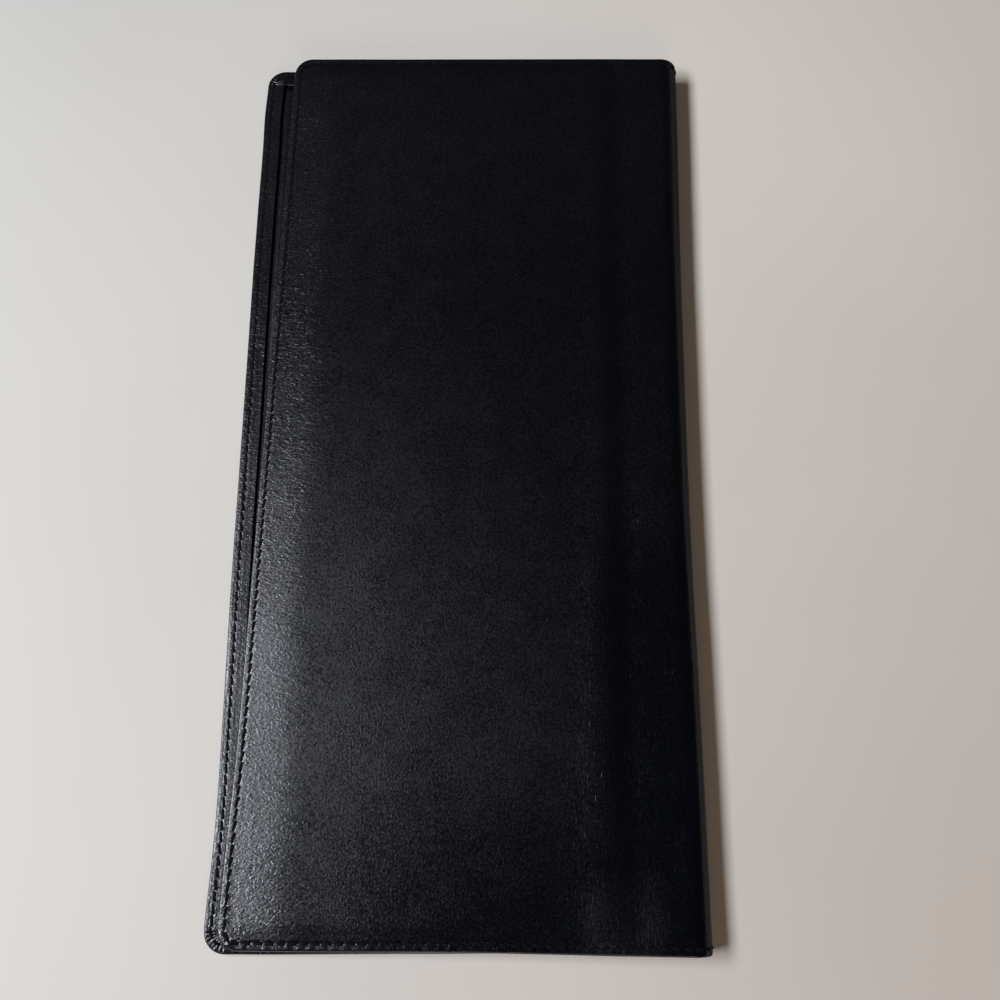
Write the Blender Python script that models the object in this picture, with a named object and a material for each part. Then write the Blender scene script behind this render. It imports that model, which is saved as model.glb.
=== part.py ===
"""Travel document holder: a long bifold leather wallet, closed and lying on its rear cover.

Metres, +Z up. +X points to the fold, +Y runs along the wallet. The origin is in the middle of the
rear cover's outer face, at the middle of the closed width.

The leather shell is drawn developed, as it lies on the bench before it is folded: X runs from the
rear half over the fold to the front half, Y along the wallet, and depth from the outer face
inwards. closed_point then rolls the developed shell round the fold.
"""

import math
from collections import namedtuple

import bmesh
import bpy
from mathutils import Vector

# Closed size
LENGTH = 0.230
REAR_REACH = 0.108
FRONT_REACH = 0.102
FOLD_RADIUS = 0.0048
FOLD_TILT = math.radians(0.5)
CORNER_RADIUS = 0.0052

# Plies, as thicknesses
COVER_THICKNESS = 0.0008
HEM_THICKNESS = 0.0005
STIFFENER_THICKNESS = 0.0003
LINING_THICKNESS = 0.00025
POCKET_THICKNESS = 0.00035
SKIVED_THICKNESS = 0.00025
BAG_THICKNESS = 0.0001

# Turned edge of the shell
HEM_WIDTH = 0.004
EDGE_WRAP = 0.0006
EDGE_ROUND = 0.0009
INNER_CORNER = 0.0004
PLY_RAMP = 0.0022

# Clearances
PLY_GAP = 0.0002
FOLD_GAP = 0.0003
REST_GAP = 0.0004

# Pockets, as distances from the fold line or from an edge
POCKET_MOUTH = 0.017
CARD_MOUTH = 0.020
PASSPORT_MOUTH = 0.024
PASSPORT_LENGTH = 0.131
PANEL_MARGIN = 0.0105
CARD_DEPTH = 0.045
STRIP_TUCK = 0.005
STRIP_JOGGLE = 0.0015
COLUMN_GAP = 0.001
STEPPED_SLOTS = 2

# Relief that the panels press into the front cover
BULGE = 0.0004
RIDGE_WIDTH = 0.006
CREASE_WIDTH = 0.0035

# Fineness of the curves
FOLD_STEPS = 8
CORNER_STEPS = 6
EDGE_STEPS = 8
RELIEF_STEPS = 4

# Depths of the plies below the outer face
BOARD_RISE = STIFFENER_THICKNESS + PLY_GAP
LINING_DEPTH = COVER_THICKNESS + PLY_GAP
POCKET_DEPTH = LINING_DEPTH + LINING_THICKNESS + PLY_GAP
HEM_DEPTH = POCKET_DEPTH + SKIVED_THICKNESS + PLY_GAP
RIM_THICKNESS = HEM_DEPTH + HEM_THICKNESS
POCKET_TOP = POCKET_DEPTH + BOARD_RISE + POCKET_THICKNESS
FIRST_PLY = POCKET_TOP + PLY_GAP

# Insets from the edge of the shell
SLOT_INSET = EDGE_WRAP
PLY_INSET = SLOT_INSET + PLY_GAP
RAMP_START = HEM_WIDTH + PLY_GAP
RAMP_END = RAMP_START + PLY_RAMP

# The fold
PANEL_STACK = 2.0 * (FIRST_PLY + POCKET_THICKNESS) - BULGE + REST_GAP
WEDGE = math.asin((2.0 * FOLD_RADIUS - PANEL_STACK) / (FRONT_REACH - PANEL_MARGIN))
FOLD_TURN = math.pi + WEDGE
FOLD_LENGTH = FOLD_RADIUS * FOLD_TURN
HINGE_SPACING = FOLD_LENGTH / 2.0
REAR_HINGE = FOLD_LENGTH / 4.0
FRONT_HINGE = REAR_HINGE + HINGE_SPACING
FOLD_X = (REAR_REACH - FOLD_RADIUS) / 2.0
HALF_LENGTH = LENGTH / 2.0

ACROSS = Vector((math.cos(FOLD_TILT), -math.sin(FOLD_TILT), 0.0))
ALONG = Vector((math.sin(FOLD_TILT), math.cos(FOLD_TILT), 0.0))
UP = Vector((0.0, 0.0, 1.0))
FOLD_ORIGIN = Vector((FOLD_X, 0.0, 0.0))

# A half of the shell: the developed distance at which it starts, its direction in X and its reach
Half = namedtuple("Half", "name start side reach")
REAR = Half("rear", 0.0, -1.0, REAR_REACH)
FRONT = Half("front", FOLD_LENGTH, 1.0, FRONT_REACH)


def smooth_ramp(value, low, high):
    """Rises from 0 at low to 1 at high, level at both ends."""
    share = min(max((value - low) / (high - low), 0.0), 1.0)
    return share * share * (3.0 - 2.0 * share)


def bulge(distance):
    """How far the panels lift the front cover, at a distance from the fold."""
    panel_end = FRONT_REACH - PANEL_MARGIN
    rise = smooth_ramp(distance, POCKET_MOUTH - RIDGE_WIDTH, POCKET_MOUTH)
    fall = smooth_ramp(distance, panel_end, panel_end + CREASE_WIDTH)
    return BULGE * (rise - fall)


def rolled(travel, depth):
    """Across and height of a point of the shell, travel past the start of the fold."""
    if travel <= 0.0:
        return travel, depth
    angle = min(travel / FOLD_RADIUS, FOLD_TURN)
    beyond = max(travel - FOLD_LENGTH, 0.0)
    radius = FOLD_RADIUS - depth + bulge(beyond)
    across = radius * math.sin(angle) + beyond * math.cos(angle)
    height = FOLD_RADIUS - radius * math.cos(angle) + beyond * math.sin(angle)
    return across, height


def closed_point(x, y, depth):
    """Where a point of the developed shell lies on the closed wallet."""
    travel = x * math.cos(FOLD_TILT) - y * math.sin(FOLD_TILT)
    along = x * math.sin(FOLD_TILT) + y * math.cos(FOLD_TILT)
    across, height = rolled(travel, depth)
    return FOLD_ORIGIN + across * ACROSS + along * ALONG + height * UP


def hinge_point(travel):
    """The point of a hinge axis at mid-length: on the leather's outer face."""
    across, height = rolled(travel, 0.0)
    return FOLD_ORIGIN + across * ACROSS + height * UP


def developed_x(travel, y):
    """Developed X of the point that lies travel past the fold's start, on the line y."""
    return (travel + y * math.sin(FOLD_TILT)) / math.cos(FOLD_TILT)


def half_x(half, distance, y):
    """Developed X at a distance from the fold line, inside one half."""
    return developed_x(half.start + half.side * distance, y)


def free_edge_x(half):
    """Developed X of a half's free edge."""
    return developed_x(half.start, 0.0) + half.side * half.reach


def spread(low, high, steps):
    """Values from low to high, both ends included."""
    return [low + (high - low) * step / steps for step in range(steps + 1)]


def relief_stations(half):
    """Distances at which the front cover's relief bends; the rear cover lies flat."""
    if half is REAR:
        return []
    panel_end = FRONT_REACH - PANEL_MARGIN
    ridge = spread(POCKET_MOUTH - RIDGE_WIDTH, POCKET_MOUTH, RELIEF_STEPS)
    crease = spread(panel_end, panel_end + CREASE_WIDTH, RELIEF_STEPS)
    return ridge + crease


def curl_stations():
    """Distances, below 0, at which the rolled margin of a half bends."""
    margin = REAR_HINGE - FOLD_GAP / 2.0
    return spread(-margin, 0.0, FOLD_STEPS // 2)


def outline(half, inset, distances):
    """A half's three stitched sides as (x, y), from the fold round the free edge and back."""
    edge = HALF_LENGTH - inset
    radius = max(CORNER_RADIUS - inset, INNER_CORNER)
    centre_x = free_edge_x(half) - half.side * (inset + radius)
    centre_y = edge - radius
    lower = [(half_x(half, distance, -edge), -edge) for distance in distances]
    upper = [(half_x(half, distance, edge), edge) for distance in reversed(distances)]
    turns = spread(0.0, math.pi / 2.0, CORNER_STEPS)
    for turn in turns:
        x = centre_x + half.side * radius * math.sin(turn)
        lower.append((x, -centre_y - radius * math.cos(turn)))
    corner = []
    for turn in reversed(turns):
        x = centre_x + half.side * radius * math.sin(turn)
        corner.append((x, centre_y + radius * math.cos(turn)))
    return lower + corner + upper


def distance_in(half, x, y):
    """Distance of a developed point from the half's fold line."""
    travel = x * math.cos(FOLD_TILT) - y * math.sin(FOLD_TILT)
    return half.side * (travel - half.start)


def three_sided_sheet(half, rings, distances, lift=None):
    """A sheet that ends at the fold line and is shaped alike along its other three sides.

    rings are (inset, depth, share) from the middle of the outer face, over the edge, to the middle
    of the inner face. lift(distance) is a depth that a ring adds by its share.
    """
    bm = bmesh.new()
    rows = []
    for inset, depth, share in rings:
        row = []
        for x, y in outline(half, inset, distances):
            extra = lift(distance_in(half, x, y)) * share if lift else 0.0
            row.append(bm.verts.new(closed_point(x, y, depth + extra)))
        rows.append(row)
    for row, other in zip(rows, rows[1:]):
        for i in range(len(row) - 1):
            bm.faces.new((row[i], row[i + 1], other[i + 1], other[i]))
    for row in (rows[0], rows[-1]):
        last = len(row) - 1
        for i in range(len(row) // 2 - 1):
            bm.faces.new((row[i], row[i + 1], row[last - i - 1], row[last - i]))
    end = [row[0] for row in rows] + [row[-1] for row in reversed(rows)]
    bm.faces.new(end)
    return bm


def lofted(sections):
    """A closed body through sections of equal point count, capped at both ends."""
    bm = bmesh.new()
    loops = [[bm.verts.new(point) for point in section] for section in sections]
    for loop, other in zip(loops, loops[1:]):
        for i in range(len(loop)):
            j = (i + 1) % len(loop)
            bm.faces.new((loop[i], loop[j], other[j], other[i]))
    bm.faces.new(loops[0])
    bm.faces.new(loops[-1])
    return bm


def fold_band(rings):
    """The part of the shell between the hinges: the rings' section carried round the fold."""
    sections = []
    low = REAR_HINGE + FOLD_GAP / 2.0
    high = FRONT_HINGE - FOLD_GAP / 2.0
    for travel in spread(low, high, FOLD_STEPS):
        lower = []
        upper = []
        for inset, depth, _share in rings:
            edge = HALF_LENGTH - inset
            lower.append(closed_point(developed_x(travel, -edge), -edge, depth))
            upper.append(closed_point(developed_x(travel, edge), edge, depth))
        sections.append(lower + upper[::-1])
    return lofted(sections)


def ribbon(half, course, thickness, low_y, high_y):
    """A strip between two lines of y. course is (distance, depth) of its outward face."""
    sections = []
    for y in (low_y, high_y):
        section = []
        for distance, depth in course:
            section.append(closed_point(half_x(half, distance, y), y, depth))
        for distance, depth in reversed(course):
            section.append(closed_point(half_x(half, distance, y), y, depth + thickness))
        sections.append(section)
    return lofted(sections)


def make_material(name, colour, roughness):
    """A plain non-metal finish."""
    material = bpy.data.materials.new(name)
    material.use_nodes = True
    shader = material.node_tree.nodes["Principled BSDF"]
    shader.inputs["Base Color"].default_value = (*colour, 1.0)
    shader.inputs["Roughness"].default_value = roughness
    shader.inputs["Metallic"].default_value = 0.0
    material.diffuse_color = (*colour, 1.0)
    return material


def make_materials():
    """The wallet's finishes by name."""
    return {
        "cover": make_material("cover_leather", (0.012, 0.012, 0.015), 0.42),
        "pocket": make_material("pocket_leather", (0.014, 0.014, 0.017), 0.48),
        "lining": make_material("lining_leather", (0.016, 0.016, 0.019), 0.55),
        "bag": make_material("bag_fabric", (0.02, 0.02, 0.024), 0.85),
        "board": make_material("stiffener_board", (0.30, 0.24, 0.17), 0.9),
    }


def make_pivot(name, travel, parent):
    """An empty on a hinge axis, at mid-length."""
    pivot = bpy.data.objects.new(name, None)
    pivot.empty_display_size = FOLD_RADIUS
    bpy.context.collection.objects.link(pivot)
    pivot.parent = parent
    pivot.location = hinge_point(travel)
    if parent:
        pivot.location -= parent.location
    return pivot


def add_piece(name, bm, material, body):
    """Turns a mesh in world coordinates into a named object of a body, with its faces outwards."""
    bmesh.ops.recalc_face_normals(bm, faces=bm.faces)
    if bm.calc_volume(signed=True) < 0.0:
        bmesh.ops.reverse_faces(bm, faces=bm.faces)
    bmesh.ops.translate(bm, verts=bm.verts, vec=-body.origin)
    mesh = bpy.data.meshes.new(name)
    bm.to_mesh(mesh)
    bm.free()
    mesh.materials.append(material)
    mesh.shade_smooth()
    mesh.set_sharp_from_angle(angle=math.radians(35.0))
    piece = bpy.data.objects.new(name, mesh)
    piece.parent = body.pivot
    bpy.context.collection.objects.link(piece)
    return piece


# A rigid group of pieces: the empty that carries it, and where that empty stands
Body = namedtuple("Body", "pivot origin")


def make_bodies():
    """The rear half stands still; the spine and the front half hang on the two hinge axes."""
    rear_pivot = make_pivot("rear_spine_fold_axis", REAR_HINGE, None)
    front_pivot = make_pivot("front_spine_fold_axis", FRONT_HINGE, rear_pivot)
    rear = Body(None, Vector((0.0, 0.0, 0.0)))
    spine = Body(rear_pivot, hinge_point(REAR_HINGE))
    front = Body(front_pivot, hinge_point(FRONT_HINGE))
    return rear, spine, front


def cover_rings():
    """Shell leather: outer face, rounded rim, hem turned inwards, and the slot that holds the plies."""
    middle = RIM_THICKNESS / 2.0
    rings = []
    for angle in spread(-math.pi / 2.0, math.pi / 2.0, EDGE_STEPS):
        inset = EDGE_ROUND * (1.0 - math.cos(angle))
        rings.append((inset, middle + middle * math.sin(angle), 0.0))
    rings.append((HEM_WIDTH, RIM_THICKNESS, 0.0))
    rings.append((HEM_WIDTH, HEM_DEPTH, 0.0))
    rings.append((SLOT_INSET, HEM_DEPTH, 0.0))
    rings.append((SLOT_INSET, COVER_THICKNESS, 0.0))
    return rings


def lining_rings():
    """Lining: low under the hem, higher over the stiffener."""
    inner = LINING_DEPTH + LINING_THICKNESS
    return [
        (RAMP_END, LINING_DEPTH, 1.0),
        (RAMP_START, LINING_DEPTH, 0.0),
        (PLY_INSET, LINING_DEPTH, 0.0),
        (PLY_INSET, inner, 0.0),
        (RAMP_START, inner, 0.0),
        (RAMP_END, inner, 1.0),
    ]


def pocket_rings():
    """Slip pocket: skived under the hem, full thickness over the stiffener."""
    skived = POCKET_DEPTH + SKIVED_THICKNESS
    return [
        (RAMP_END, POCKET_DEPTH + BOARD_RISE, 0.0),
        (RAMP_START, POCKET_DEPTH, 0.0),
        (PLY_INSET, POCKET_DEPTH, 0.0),
        (PLY_INSET, skived, 0.0),
        (RAMP_START, skived, 0.0),
        (RAMP_END, POCKET_TOP, 0.0),
    ]


def stiffener_rings():
    """Board: a plain flat edge."""
    inset = RAMP_END + PLY_GAP
    return [
        (inset, LINING_DEPTH, 0.0),
        (inset, LINING_DEPTH + STIFFENER_THICKNESS, 0.0),
    ]


def lining_lift(distance):
    """The lining steps up from the bare fold onto the stiffener."""
    top = POCKET_MOUTH - STRIP_JOGGLE
    return BOARD_RISE * smooth_ramp(distance, top - PLY_RAMP, top)


def make_shell_half(half, body, finish):
    """Cover, stiffener and lining of one half."""
    stations = curl_stations() + relief_stations(half)
    cover = three_sided_sheet(half, cover_rings(), stations)
    add_piece(half.name + "_cover", cover, finish["cover"], body)

    start = POCKET_MOUTH - STRIP_JOGGLE + PLY_GAP
    stations = [start] + [value for value in relief_stations(half) if value > start]
    board = three_sided_sheet(half, stiffener_rings(), stations)
    add_piece(half.name + "_stiffener", board, finish["board"], body)

    top = POCKET_MOUTH - STRIP_JOGGLE
    stations = curl_stations() + relief_stations(half) + spread(top - PLY_RAMP, top, RELIEF_STEPS)
    lining = three_sided_sheet(half, lining_rings(), sorted(set(stations)), lining_lift)
    add_piece(half.name + "_lining", lining, finish["lining"], body)


def make_slip_pocket(name, half, body, finish):
    """A pocket over the whole length, stitched on three sides and open to the fold."""
    stations = [value for value in relief_stations(half) if value > POCKET_MOUTH]
    pocket = three_sided_sheet(half, pocket_rings(), [POCKET_MOUTH] + stations)
    add_piece(name, pocket, finish["pocket"], body)


def make_spine(body, finish):
    """The shell and its lining between the two hinges."""
    add_piece("spine_cover", fold_band(cover_rings()), finish["cover"], body)
    add_piece("spine_lining", fold_band(lining_rings()[1:-1]), finish["lining"], body)


def panel_end(half):
    """Distance from the fold at which the stitched-on panels end."""
    return half.reach - PANEL_MARGIN


def slot_mouths(half):
    """Distances of the card slots' mouths, from the fold side down."""
    return spread(CARD_MOUTH, panel_end(half) - CARD_DEPTH, STEPPED_SLOTS)


def strip_course(index, mouths):
    """A stepped lip: over the tuck of the lip behind it, then down onto that slot's bag."""
    mouth = mouths[index]
    end = mouths[index] + (mouths[1] - mouths[0]) + STRIP_TUCK
    level = FIRST_PLY + index * (BAG_THICKNESS + PLY_GAP)
    if index == 0:
        return [(mouth, level), (end, level)]
    step = POCKET_THICKNESS - BAG_THICKNESS
    tuck_end = mouth + STRIP_TUCK + PLY_GAP
    return [
        (mouth, level + step),
        (tuck_end, level + step),
        (tuck_end + STRIP_JOGGLE, level),
        (end, level),
    ]


def bag_course(index, mouths):
    """A bag that hangs from its lip, and drops past the end of the bag behind it."""
    start = mouths[index] + (mouths[1] - mouths[0]) + STRIP_TUCK + PLY_GAP
    end = mouths[index] + CARD_DEPTH
    level = FIRST_PLY + index * (BAG_THICKNESS + PLY_GAP)
    if index == 0:
        return [(start, level), (end, level)]
    behind = mouths[index - 1] + CARD_DEPTH + PLY_GAP
    return [(start, level), (behind, level), (end, FIRST_PLY)]


def bottom_course(half, mouths):
    """The last pocket: over the last lip's tuck and all bags, down to the panels' end."""
    mouth = mouths[-1]
    level = FIRST_PLY + STEPPED_SLOTS * (BAG_THICKNESS + PLY_GAP)
    step = POCKET_THICKNESS - BAG_THICKNESS
    tuck_end = mouth + STRIP_TUCK + PLY_GAP
    return [
        (mouth, level + step),
        (tuck_end, level + step),
        (tuck_end + STRIP_JOGGLE, level),
        (mouths[0] + CARD_DEPTH + PLY_GAP, level),
        (panel_end(half), FIRST_PLY),
    ]


def make_card_stack(prefix, half, body, finish, low_y, high_y):
    """Stepped card slots in one column: lips, their bags and the bottom pocket."""
    mouths = slot_mouths(half)
    for index in range(STEPPED_SLOTS):
        strip = ribbon(half, strip_course(index, mouths), POCKET_THICKNESS, low_y, high_y)
        add_piece(f"{prefix}_card_strip_{index + 1}", strip, finish["pocket"], body)
        bag = ribbon(half, bag_course(index, mouths), BAG_THICKNESS, low_y, high_y)
        add_piece(f"{prefix}_card_bag_{index + 1}", bag, finish["bag"], body)
    bottom = ribbon(half, bottom_course(half, mouths), POCKET_THICKNESS, low_y, high_y)
    add_piece(f"{prefix}_card_pocket", bottom, finish["pocket"], body)


def make_passport_pocket(body, finish, low_y, high_y):
    """A deep flat pocket that a passport slides into from the fold."""
    course = [(PASSPORT_MOUTH, FIRST_PLY), (panel_end(REAR), FIRST_PLY)]
    pocket = ribbon(REAR, course, POCKET_THICKNESS, low_y, high_y)
    add_piece("passport_pocket", pocket, finish["pocket"], body)


def clear_scene():
    """Removes every object that is already there."""
    for piece in list(bpy.data.objects):
        bpy.data.objects.remove(piece, do_unlink=True)


def build():
    """Models the whole wallet."""
    clear_scene()
    finish = make_materials()
    rear, spine, front = make_bodies()
    make_shell_half(REAR, rear, finish)
    make_spine(spine, finish)
    make_shell_half(FRONT, front, finish)
    make_slip_pocket("ticket_pocket", REAR, rear, finish)
    make_slip_pocket("document_pocket", FRONT, front, finish)

    low_end = -HALF_LENGTH + RAMP_START
    high_end = HALF_LENGTH - RAMP_START
    passport_end = low_end + PASSPORT_LENGTH
    make_passport_pocket(rear, finish, low_end, passport_end)
    make_card_stack("rear", REAR, rear, finish, passport_end + COLUMN_GAP, high_end)
    make_card_stack("lower", FRONT, front, finish, low_end, -COLUMN_GAP / 2.0)
    make_card_stack("upper", FRONT, front, finish, COLUMN_GAP / 2.0, high_end)


build()
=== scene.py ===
import math
from collections import namedtuple

import bmesh
import bpy
import numpy as np
from mathutils import Matrix, Vector


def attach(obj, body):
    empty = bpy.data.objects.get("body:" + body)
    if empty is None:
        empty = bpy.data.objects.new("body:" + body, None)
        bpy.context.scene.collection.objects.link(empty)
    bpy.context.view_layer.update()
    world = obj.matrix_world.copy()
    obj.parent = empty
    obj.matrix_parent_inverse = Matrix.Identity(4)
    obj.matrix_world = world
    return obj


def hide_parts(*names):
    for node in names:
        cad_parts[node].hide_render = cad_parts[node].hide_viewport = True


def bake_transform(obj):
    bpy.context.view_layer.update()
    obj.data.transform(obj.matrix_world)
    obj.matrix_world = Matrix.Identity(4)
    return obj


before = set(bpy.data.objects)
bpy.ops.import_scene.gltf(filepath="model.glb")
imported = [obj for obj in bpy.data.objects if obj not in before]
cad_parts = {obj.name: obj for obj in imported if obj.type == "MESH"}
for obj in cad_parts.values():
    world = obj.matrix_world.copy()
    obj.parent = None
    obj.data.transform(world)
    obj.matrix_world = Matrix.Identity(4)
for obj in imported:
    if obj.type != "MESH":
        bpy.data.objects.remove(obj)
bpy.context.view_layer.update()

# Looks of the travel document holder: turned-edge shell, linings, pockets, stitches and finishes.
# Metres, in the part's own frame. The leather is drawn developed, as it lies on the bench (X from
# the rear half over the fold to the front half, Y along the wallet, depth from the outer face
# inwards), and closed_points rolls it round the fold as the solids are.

# Closed size of the shell
HALF_LENGTH = 0.115
REAR_REACH = 0.108
FRONT_REACH = 0.102
FOLD_RADIUS = 0.0048
FOLD_TILT = math.radians(0.5)
CORNER_RADIUS = 0.0052

# Plies
COVER_THICKNESS = 0.0008
HEM_THICKNESS = 0.0005
STIFFENER_THICKNESS = 0.0003
LINING_THICKNESS = 0.00025
POCKET_THICKNESS = 0.00035
SKIVED_THICKNESS = 0.00025
BAG_THICKNESS = 0.0001
PLY_GAP = 0.0002
REST_GAP = 0.0004
# The hem is drawn wider than the solid's, so that its strip fills the gap beside the front half
HEM_WIDTH = 0.0048
EDGE_WRAP = 0.0006
EDGE_ROUND = 0.0005
PLY_RAMP = 0.0014

# Pockets
POCKET_MOUTH = 0.017
CARD_MOUTH = 0.020
PASSPORT_MOUTH = 0.024
PASSPORT_LENGTH = 0.131
PANEL_MARGIN = 0.0105
CARD_DEPTH = 0.045
STRIP_TUCK = 0.005
STRIP_JOGGLE = 0.0015
COLUMN_GAP = 0.001
STEPPED_SLOTS = 2

# Relief that the panels press into the front cover
BULGE = 0.0004
RIDGE_WIDTH = 0.006
SLOPE_FROM = 0.0900
SLOPE_WIDTH = 0.0110
SLOPE_DROP = 0.00058
SLOPE_EASE = 0.22
FADE_FROM = 0.0060
FADE_TO = 0.0005

# Depths of the plies below the outer face, and insets from the shell's edge
BOARD_RISE = STIFFENER_THICKNESS + PLY_GAP
LINING_DEPTH = COVER_THICKNESS + PLY_GAP
POCKET_DEPTH = LINING_DEPTH + LINING_THICKNESS + PLY_GAP
HEM_DEPTH = POCKET_DEPTH + SKIVED_THICKNESS + PLY_GAP
RIM_THICKNESS = HEM_DEPTH + HEM_THICKNESS
POCKET_TOP = POCKET_DEPTH + BOARD_RISE + POCKET_THICKNESS
FIRST_PLY = POCKET_TOP + PLY_GAP
RAMP_START = HEM_WIDTH + PLY_GAP
RAMP_END = RAMP_START + PLY_RAMP

# The fold
PANEL_STACK = 2.0 * (FIRST_PLY + POCKET_THICKNESS) - BULGE + REST_GAP
WEDGE = math.asin((2.0 * FOLD_RADIUS - PANEL_STACK) / (FRONT_REACH - PANEL_MARGIN))
FOLD_TURN = math.pi + WEDGE
FOLD_LENGTH = FOLD_RADIUS * FOLD_TURN
MID_FOLD = FOLD_LENGTH / 2.0
FOLD_X = (REAR_REACH - FOLD_RADIUS) / 2.0
TILT_COS, TILT_SIN = math.cos(FOLD_TILT), math.sin(FOLD_TILT)
ACROSS = np.array((TILT_COS, -TILT_SIN, 0.0))
ALONG = np.array((TILT_SIN, TILT_COS, 0.0))
UP = np.array((0.0, 0.0, 1.0))
FOLD_ORIGIN = np.array((FOLD_X, 0.0, 0.0))

# How handling has drawn the outline out of true
SPINE_PINCH = 0.00065
PINCH_AT = -0.012
PINCH_SPREAD = 0.050
SPINE_FLARE = 0.0008
FLARE_FROM = 0.050
FLARE_TO = 0.112
SETTLING = 0.030
REAR_EDGE_WAVE = 0.00045
REAR_WAVE_FROM = 0.060
# Local moves of the rear's free edge: the middle along Y, the spread and the move
REAR_EDGE_MOVES = (
    (-0.055, 0.045, -0.00014),
    (-0.025, 0.030, -0.00036),
    (-0.083, 0.012, 0.00019),
    (-0.110, 0.010, -0.00042),
    (0.100, 0.007, -0.00029),
)
CORNER_FLARE = 0.00075
CORNER_FLARE_FROM = 0.040
OUTWARD_FLARE = (0.068, 0.108)
DOWNWARD_FLARE = (0.080, 0.113)

# Stitching along the turned edge
STITCH_PITCH = 0.0025
REAR_SEAM = 0.00198
FRONT_SEAM = 0.00185
STITCH_LENGTH = 0.00290
CROSS_STITCH = 0.0018
THREAD_RADIUS = 0.00050
THREAD_DIP = 0.00070
FACE_SINK = 0.00024
HEM_SINK = 0.00030
THREAD_STEPS = 10
THREAD_SIDES = 6
SLANT = 10.0
SLANT_SPREAD = 2.0
LENGTH_SPREAD = 0.03
END_THINNING = 0.45
TABLE_CLEARANCE = 0.00002

# Stitching of the pockets' side seams, with a thinner thread
SEAM_THREAD_RADIUS = 0.00020
SEAM_STITCH = 0.0021
SEAM_SINK = 0.00008
SEAM_START = 0.0012
SEAM_STOP = 0.0008
LIP_REACH = 0.0004

# Relief beside the edge's stitches
TROUGH_WIDTH = 0.00019
TROUGH_DEPTH = 0.00007
HEM_TROUGH_DEPTH = 0.00006
CROSS_TROUGH_WIDTH = 0.00014
CROSS_TROUGH_DEPTH = 0.00010
BRIDGING = 0.7
BEAD_HEIGHT = 0.00001
PUFF_HEIGHT = 0.00008
BEAD_SPREAD = 0.00042
BEAD_OFFSET = 0.00095
HEM_SLOPE = 0.00016
REAR_RIM_DROP = 0.00016
FRONT_RIM_DROP = 0.6 * REAR_RIM_DROP
WRINKLE_HEIGHT = 0.00003
WRINKLE_PITCH = 0.00055
WRINKLE_LENGTH = 0.0031
WANDER_HEIGHT = 0.00004
WANDER_WIDTH = 0.004
WANDER_LENGTH = 0.009
STREAK_HEIGHT = 0.000012
STREAK_PITCH = 0.00022

# Relief of the outer leather
WAVE_HEIGHT = 0.00007
WAVE_ACROSS, WAVE_ALONG = 0.031, 0.043
RIPPLE = 0.4
RIPPLE_ACROSS, RIPPLE_ALONG = 0.011, 0.016
REAR_SETTLING = 0.010
LIFT_OFF = 0.003
RIDGE_WANDER = 0.0008
RIDGE_WANDER_LENGTH = 0.031
RIDGE_AT = 0.0190
RIDGE_HEIGHT = 0.00009
RIDGE_SPREAD = 0.0030
VALLEY_AT = 0.0120
VALLEY_DEPTH = 0.00012
VALLEY_SPREAD = 0.0035
PLEATS = 7
PLEAT_DEPTH = 0.00022
PLEAT_WANDER = 0.0009
PLEAT_FROM = 0.0003
PLEAT_TO = 0.0024

# Relief of the pocket leathers and linings
MOUTH_BEAD = 0.00004
MOUTH_BEAD_FROM = 0.0008
MOUTH_BEAD_TO = 0.0014
MOUTH_LINE = 0.00005
MOUTH_LINE_AT = 0.0017
MOUTH_LINE_SPREAD = 0.00022
SEAM_GROOVE = 0.00006
PANEL_HILLS = 0.000025
HILLS_AWAY, HILLS_ALONG = 0.012, 0.015
SHEET_HILLS = 0.00002
SHEET_HILL_LENGTH = 0.02
LINING_WRINKLES = 0.00003
WRINKLES_AWAY, WRINKLES_ALONG = 0.004, 0.0028
WRINKLED_FROM, WRINKLED_TO = 0.002, 0.014

# Fineness of the meshes
SEAM_ZONE = 0.0029
BORDER_RINGS = 9
SEAM_RINGS = 16
INNER_RINGS = 7
RIM_RINGS = 11
LIP_START = 0.00012
LIP_END = 0.00009
LIP_BEVEL = 0.0001
FOLD_STEPS = 12
FOLD_CLOSENESS = 0.25
FINE_STEP = 0.00042
FINE_PER_COARSE = 3
CORNER_STEPS = 48
BORDER = 0.0050
COARSE_BORDER = 0.0058
BORDER_CORNER = 0.0006
SHEET_INSET = 0.0025
RIM_TURNS = np.radians((-50.0, 0.0, 50.0))
SHARP_ANGLE = math.radians(50.0)
LINING_FOLD_STEPS = 24
# Steps along a grid: inside it, near its two ends, and how far from them the near ones reach
PANEL_ALONG = (0.0012, 0.0003, 0.0033)
PANEL_AWAY = (0.0009, 0.0003, 0.0024)
SHEET_ALONG = (0.0016, 0.0005, 0.006)
SHEET_AWAY = (0.0015, 0.0005, 0.006)

# A half of the shell: the developed distance at which it starts, its direction in X, its reach, its
# body and the inset of its seam from the edge
Half = namedtuple("Half", "name start side reach body seam")
REAR = Half("rear", 0.0, -1.0, REAR_REACH, "rear_half", REAR_SEAM)
FRONT = Half("front", FOLD_LENGTH, 1.0, FRONT_REACH, "front_half", FRONT_SEAM)


def smooth_ramp(value, low, high):
    """Rises from 0 at low to 1 at high, level at both ends."""
    share = np.clip((value - low) / (high - low), 0.0, 1.0)
    return share * share * (3.0 - 2.0 * share)


def bell(value, middle, spread):
    """A smooth hump of height 1 at middle, fallen to 1/e at spread from it."""
    return np.exp(-(((value - middle) / spread) ** 2))


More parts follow.
